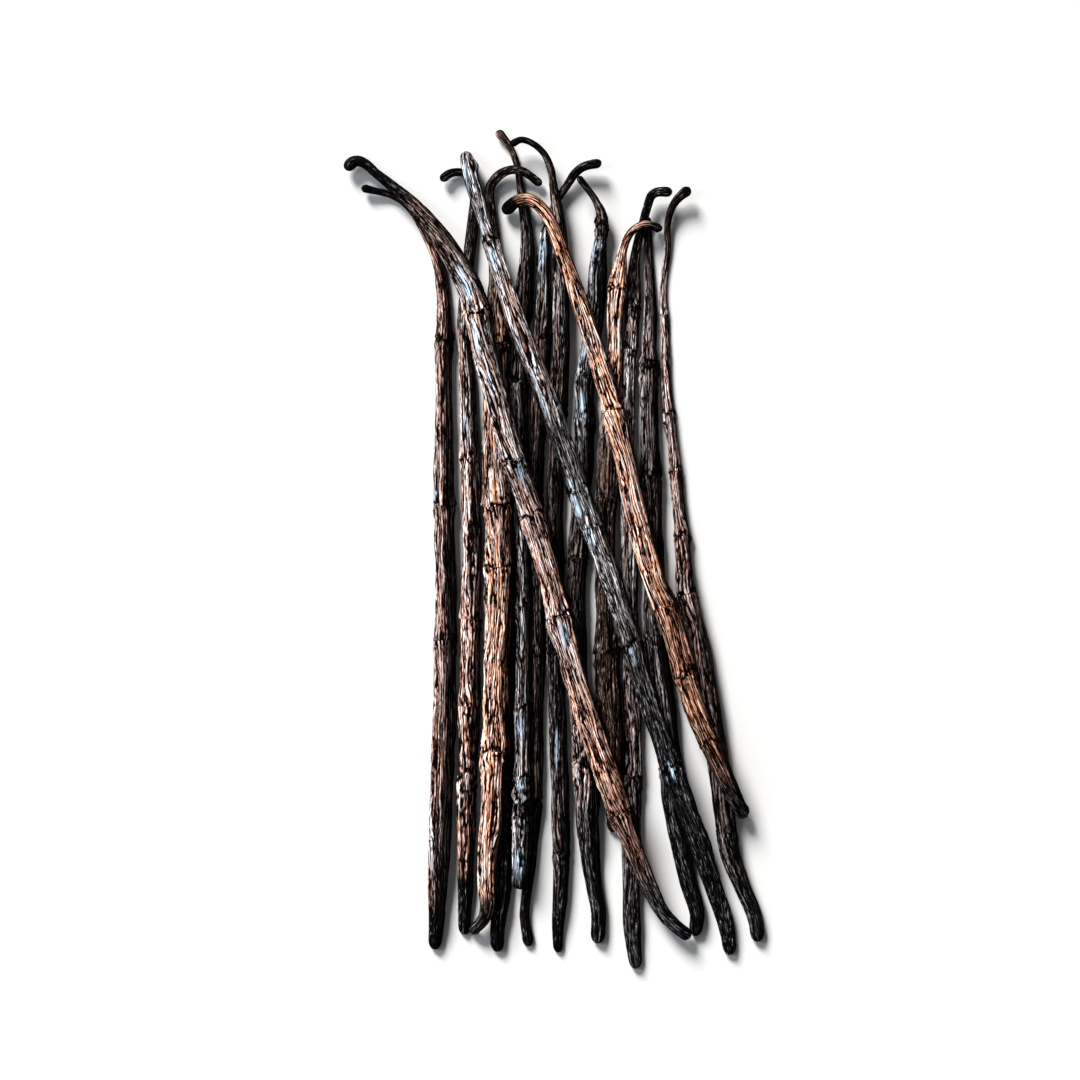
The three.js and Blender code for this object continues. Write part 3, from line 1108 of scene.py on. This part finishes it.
PODS = (
    Pod(
        "pod_left_buried", Skin.BLACK, seed=11,
        tones=((50, 0.1, 0.0), (-92, 0.0, 0.0)),
        joints=(Joint(-35),),
    ),
    Pod(
        "pod_centre_slim", Skin.BLACK, seed=12,
        tones=((86, 0.0, 0.0), (74, 0.3, 0.5), (60, 0.3, 0.6), (54, 0.5, 0.2),
               (48, 0.9, 0.1), (40, 0.4, 0.2), (20, 0.2, 0.1), (-55, 0.3, 0.0),
               (-74, 0.1, 0.0), (-90, 0.0, 0.0)),
        joints=(Joint(48), Joint(12), Joint(-24), Joint(-58)),
        patches=(Patch(67.5, 100, 9.0, 1.5),),
    ),
    Pod(
        "pod_centre_short", Skin.BLACK, seed=13,
        tones=((96, 0.9, 0.0), (88, 0.25, 0.0), (74, 0.15, 0.1), (50, 0.3, 0.2),
               (0, 0.5, 0.9), (-30, 0.7, 1.0), (-60, 0.6, 1.0), (-64, 0.3, 0.9),
               (-70, 0.1, 1.0), (-75, 0.1, 0.3), (-78, 0.0, 0.0)),
        joints=(Joint(38), Joint(-13, 0.4, 0.2, 40), Joint(-35.4), Joint(-52), Joint(-61.2)),
        beads=(Beads(-57, 4.0, 0.34),),
        patches=(Patch(-18.5, 100, 5.0, 0.8), Patch(-41, 110, 6.0, 1.4), Patch(-54, 100, 2.6, 1.6),
                 Patch(-72.6, 98, 6.4, 2.1)),
    ),
    Pod(
        "pod_left_outer", Skin.DARK_BROWN, seed=14, lit_side_angle=156,
        tones=((82, 0.0, 0.0), (74, 0.2, 0.0), (68, 0.7, 0.1), (54, 0.9, 0.15),
               (49, 0.5, 0.0), (42, 0.6, 0.2), (20, 0.6, 0.2), (-8, 0.5, 0.2),
               (-36, 0.55, 0.25), (-48, 0.8, 0.15), (-58, 0.4, 0.3), (-70, 0.2, 0.5),
               (-78, 0.3, 0.05), (-84, 0.0, 0.0)),
        joints=(Joint(48.1, 0.5, 0.35), Joint(10.0, 0.5, 0.35, 40), Joint(-20.9, 0.25)),
        patches=(Patch(33.0, 165, 3.4, 1.1), Patch(12.6, 150, 2.6, 1.1), Patch(-71, 150, 4.0, 1.2)),
    ),
    Pod(
        "pod_left_slim", Skin.GREY_BROWN, seed=15,
        tones=((82, 0.0, 0.0), (70, 0.03, 0.05), (56, 0.06, 0.1), (48, 0.3, 0.6),
               (30, 0.5, 1.0), (22, 0.8, 0.9), (16, 1.0, 0.8), (-4, 1.0, 0.7),
               (-40, 1.0, 0.3), (-52, 0.6, 0.7), (-64, 0.9, 0.1), (-72, 0.5, 0.0),
               (-76, 0.0, 0.0), (-88, 0.0, 0.0)),
        joints=(Joint(20.9, 0.45, 0.25), Joint(-16, 0.4, 0.3, 10), Joint(-36, 0.2)),
        beads=(Beads(-52, 7.0, 0.16),),
        patches=(Patch(26.8, 106, 8.0, 0.9),),
    ),
    Pod(
        "pod_centre_long", Skin.BLACK, seed=16,
        tones=((92, 0.0, 0.0), (82, 0.5, 0.1), (70, 0.5, 0.3), (50, 0.4, 0.5),
               (42, 0.5, 0.3), (39, 1.0, 0.0), (35, 0.2, 0.1), (-30, 0.1, 0.1),
               (-60, 0.3, 0.2), (-76, 0.1, 0.05), (-84, 0.0, 0.0)),
        joints=(Joint(66), Joint(32), Joint(-24), Joint(-70)),
        patches=(Patch(-46, 105, 9.0, 0.8),),
    ),
    Pod(
        "pod_centre_stout", Skin.BLACK, seed=17,
        tones=((84, 0.0, 0.0), (75, 0.7, 0.2), (70, 0.1, 0.5), (58, 0.1, 0.4),
               (40, 0.1, 0.6), (30, 0.1, 0.5), (0, 0.2, 0.1), (-32, 0.4, 0.1),
               (-42, 1.0, 0.2), (-54, 1.0, 0.3), (-60, 0.2, 0.3), (-72, 0.0, 0.1),
               (-88, 0.0, 0.1)),
        joints=(Joint(74.5, 0.2, 0.35), Joint(39, 0.4), Joint(30), Joint(-2), Joint(-40)),
        beads=(Beads(-49, 7.0, 0.42),),
        patches=(Patch(68.5, 130, 3.4, 1.2), Patch(63.5, 135, 3.0, 0.8), Patch(45.5, 125, 5.4, 1.0),
                 Patch(33.0, 105, 5.6, 1.2)),
    ),
    Pod(
        "pod_right_buried", Skin.BLACK, seed=18,
        tones=((76, 0.0, 0.0), (62, 0.3, 0.1), (52, 0.4, 0.3), (46, 0.8, 0.6),
               (41, 0.9, 0.3), (36, 0.4, 0.3), (0, 0.4, 0.1), (-40, 0.1, 0.2),
               (-49, 0.1, 0.4), (-56, 0.0, 0.1), (-88, 0.0, 0.0)),
        joints=(Joint(42.5, 0.5, 0.35), Joint(17), Joint(-20), Joint(-50, 0.3, 0.3)),
        patches=(Patch(-50.0, 95, 2.6, 1.4),),
    ),
    Pod(
        "pod_right_long", Skin.BLACK, seed=19, lit_side_angle=106, shade_side_floor=0.12, evenness=0.1,
        tones=((82, 0.0, 0.0), (60, 0.1, 0.0), (54, 1.0, 0.2), (46, 0.9, 0.9),
               (34, 0.8, 1.0), (20, 0.4, 0.4), (-40, 0.4, 0.2), (-62, 0.2, 0.3),
               (-82, 0.1, 0.1), (-90, 0.0, 0.1)),
        joints=(Joint(56), Joint(46), Joint(30), Joint(-20), Joint(-52)),
    ),
    Pod(
        "pod_right_outer", Skin.DARK_BROWN, seed=20, lit_side_angle=126,
        tones=((82, 0.0, 0.0), (74, 0.1, 0.0), (68, 0.6, 0.3), (56, 0.8, 1.0),
               (50, 1.0, 0.8), (40, 0.9, 1.0), (28, 0.7, 0.4), (8, 0.5, 0.2),
               (-4, 0.4, 0.15), (-14, 0.35, 0.2), (-30, 0.25, 0.12), (-80, 0.0, 0.1),
               (-86, 0.0, 0.12), (-90, 0.0, 0.0)),
        joints=(Joint(53.8, 0.25), Joint(31.3, 0.5, 0.3, 30), Joint(18, 0.4), Joint(3, 0.4, 0.25, 180),
                Joint(-10.4, 0.45, 0.3), Joint(-65, 0.3)),
    ),
    Pod(
        "pod_right_arched", Skin.TAN, seed=21,
        tones=((74.2, 0.8, 0.2), (73.6, 0.9, 0.3), (66, 1.0, 0.5), (46, 1.0, 0.8),
               (34, 0.5, 0.4), (24, 0.1, 0.06), (8, 0.03, 0.01), (-20, 0.03, 0.01),
               (-45, 0.04, 0.01), (-56, 0.02, 0.0)),
        joints=(Joint(60), Joint(40, 0.3), Joint(12), Joint(-24)),
        lit_side_angle=108, shade_side_floor=0.1, dark_stem=3.6, evenness=0.1,
    ),
    Pod(
        "pod_left_tan", Skin.TAN, seed=22, lit_side_angle=112, evenness=0.12,
        tones=((86, 0.0, 0.0), (76, 0.03, 0.03), (52, 0.1, 0.1), (44, 0.6, 0.2),
               (34, 0.6, 0.6), (24, 0.45, 0.45), (4, 0.45, 0.4), (-6, 0.8, 0.5),
               (-24, 0.95, 0.5), (-36, 1.0, 0.5), (-60, 1.0, 0.5), (-75, 1.0, 0.8),
               (-78, 0.6, 0.2), (-80.5, 0.05, 0.05), (-87, 0.0, 0.15)),
        joints=(Joint(47, 0.5, 0.3), Joint(9.7, 0.45, 0.25, 50), Joint(-4.1, 0.4, 0.25),
                Joint(-46.3, 0.45, 0.3, 100)),
        marks=(Mark(-46.3, 120, 1.3, -0.5),),
        patches=(Patch(23.5, 166, 3.2, 1.0),),
    ),
    Pod(
        "pod_top_left", Skin.GREY_BROWN, seed=23, twist=0.012, lit_side_angle=112, evenness=0.12,
        tones=((88, 0.0, 0.0), (81, 0.0, 0.0), (77, 0.25, 0.1), (68, 0.13, 0.13),
               (58, 0.18, 0.35), (53, 0.9, 0.4), (50, 0.3, 1.0), (34, 0.5, 1.0),
               (20, 0.6, 1.0), (10, 0.9, 0.9), (-10, 1.0, 0.3), (-18, 0.9, 0.9),
               (-26, 1.0, 0.6), (-34, 1.0, 0.3), (-45, 0.95, 0.1), (-60, 0.6, 0.05),
               (-70, 0.4, 0.05), (-76, 0.1, 0.1), (-82, 0.0, 0.1), (-88, 0.0, 0.1)),
        joints=(Joint(53.6, 0.6, 0.3, 60), Joint(20.6, 0.5, 0.25, 100), Joint(8.0, 0.5, 0.2, 50),
                Joint(-15.6, 0.45, 0.3, 90), Joint(-60, 0.2)),
        marks=(Mark(-7.5, 60, 2.2, -0.25),),
        patches=(Patch(60.0, 105, 9.0, 2.2), Patch(47.6, 114, 6.0, 0.9), Patch(37.6, 92, 4.6, 1.0),
                 Patch(18.0, 76, 4.6, 2.0), Patch(-19.8, 92, 5.4, 2.2)),
    ),
    Pod(
        "pod_top_middle", Skin.GREY_BROWN, seed=24, twist=-0.008, lit_side_angle=96,
        ridge_depth=0.26, fold_depth=0.3, evenness=0.42,
        tones=((90, 0.2, 0.5), (80, 0.1, 1.0), (70, 0.2, 1.0), (66, 0.1, 1.0),
               (56, 0.4, 1.0), (48, 0.55, 1.0), (40, 0.3, 1.0), (30, 0.05, 0.5),
               (20, 0.03, 0.2), (12, 0.04, 0.4), (0, 0.08, 1.0), (-10, 0.06, 0.8),
               (-18, 0.04, 0.2), (-28, 0.02, 0.08), (-46, 0.0, 0.05), (-56, 0.0, 0.05),
               (-92, 0.0, 0.0)),
        joints=(Joint(70.4, 0.4, 0.25), Joint(13.6, 0.5, 0.25), Joint(4.8, 0.3),
                Joint(-21.4, 0.4, 0.25, 150), Joint(-49.9, 0.4, 0.25)),
        marks=(Mark(87.5, 0, 1.8, 0.9),),
        patches=(Patch(85.8, 125, 6.5, 1.2), Patch(74.0, 120, 4.5, 0.9), Patch(66.5, 110, 4.5, 1.8),
                 Patch(48.0, 123, 5.5, 0.9), Patch(39.0, 123, 4.6, 1.0), Patch(33.0, 130, 4.6, 1.1),
                 Patch(16.0, 125, 4.0, 1.4), Patch(10.6, 128, 4.0, 1.4), Patch(2.8, 120, 4.5, 1.3),
                 Patch(-24.0, 100, 3.6, 1.0), Patch(-50.6, 95, 3.4, 1.3)),
    ),
    Pod(
        "pod_top_right", Skin.TAN, seed=25, twist=0.009, lit_side_angle=114, dark_stem=4.0,
        tones=((79.9, 0.7, 0.1), (76, 0.8, 0.1), (64, 0.8, 0.3), (50, 0.85, 0.6),
               (36, 0.75, 0.5), (30, 0.9, 0.5), (20, 0.9, 0.6), (-6, 0.9, 0.3),
               (-20, 0.5, 0.05), (-40, 0.4, 0.03), (-46, 0.2, 0.0), (-54, 0.02, 0.0),
               (-58, 0.0, 0.1)),
        joints=(Joint(31.5, 0.4, 0.3), Joint(-13, 0.2), Joint(-29.2, 0.5, 0.35, 60), Joint(-44, 0.3)),
        patches=(Patch(55.0, 128, 2.4, 0.7), Patch(12.0, 130, 5.0, 0.8)),
    ),
)


@dataclass
class Studio:
    """The floor, the lights and the camera. Its lengths are in metres."""

    view_width: float = 0.2484
    view_centre: tuple[float, float] = (-0.0032, 0.0021)
    lens: float = 135.0
    sensor: float = 36.0
    floor_size: float = 8.0
    floor_grey: float = 0.56
    floor_roughness: float = 0.9
    floor_specular: float = 0.1
    sun_strength: float = 9.5
    sun_softness: float = 22.0
    sun_height: float = 30.0
    sun_bearing: float = 28.0
    sun_colour: Triple = (1.0, 0.985, 0.96)
    sky_strength: float = 0.17
    sky_colour: Colour = (0.98, 0.985, 1.0, 1.0)
    strip_power: float = 4.0
    strip_colour: Triple = (0.86, 0.93, 1.0)
    strip_place: Triple = (-0.65, 0.1, 0.42)
    strip_size: tuple[float, float] = (0.25, 0.9)

    def build(self) -> None:
        """Builds the whole studio."""
        self.floor()
        self.sun()
        self.strip()
        self.sky()
        self.camera()
        view = bpy.context.scene.view_settings
        view.view_transform = "Standard"
        view.look = "None"
        LOG.info("studio: floor, sun, strip light, sky and camera")

    def floor(self) -> None:
        """Lays a plain white floor."""
        half = self.floor_size / 2
        corners = [(-half, -half, 0), (half, -half, 0), (half, half, 0), (-half, half, 0)]
        mesh = bpy.data.meshes.new("floor")
        mesh.from_pydata(corners, [], [(0, 1, 2, 3)])
        floor = new_object("floor", mesh)
        white = bpy.data.materials.new("floor_white")
        white.use_nodes = True
        shader = white.node_tree.nodes["Principled BSDF"]
        shader.inputs["Base Color"].default_value = (self.floor_grey, self.floor_grey, self.floor_grey, 1.0)
        shader.inputs["Roughness"].default_value = self.floor_roughness
        shader.inputs["Specular IOR Level"].default_value = self.floor_specular
        mesh.materials.append(white)

    def sun(self) -> None:
        """Adds the main light, which slants in from beyond the stem ends and a little from the left."""
        light = bpy.data.lights.new("sun", "SUN")
        light.energy = self.sun_strength
        light.angle = math.radians(self.sun_softness)
        light.color = self.sun_colour
        bearing, height = math.radians(self.sun_bearing), math.radians(self.sun_height)
        flat = math.cos(height)
        towards = Vector((-math.sin(bearing) * flat, math.cos(bearing) * flat, math.sin(height)))
        new_object("sun", light).rotation_euler = towards.to_track_quat("Z", "Y").to_euler()

    def strip(self) -> None:
        """Adds a long cool light on the left, for the gloss along the pods."""
        light = bpy.data.lights.new("strip", "AREA")
        light.shape = "RECTANGLE"
        light.size, light.size_y = self.strip_size
        light.energy = self.strip_power
        light.color = self.strip_colour
        lamp = new_object("strip", light)
        lamp.location = self.strip_place
        lamp.rotation_euler = Vector(lamp.location).to_track_quat("Z", "Y").to_euler()

    def sky(self) -> None:
        """Adds a pale sky that fills the shadows."""
        world = bpy.data.worlds.new("sky")
        world.use_nodes = True
        back = world.node_tree.nodes["Background"]
        back.inputs["Color"].default_value = self.sky_colour
        back.inputs["Strength"].default_value = self.sky_strength
        bpy.context.scene.world = world

    def camera(self) -> None:
        """Adds the camera, straight above the heap."""
        data = bpy.data.cameras.new("camera")
        data.lens = self.lens
        data.sensor_width = self.sensor
        camera = new_object("camera", data)
        camera.location = (*self.view_centre, self.view_width * self.lens / self.sensor)
        camera.rotation_euler = (0.0, 0.0, 0.0)
        bpy.context.scene.camera = camera


def main() -> None:
    """Builds the studio and the heap, and reports each piece."""
    logging.basicConfig(level=logging.INFO, format="%(message)s")
    Studio().build()
    Heap(PODS).build()


if __name__ == "__main__":
    main()
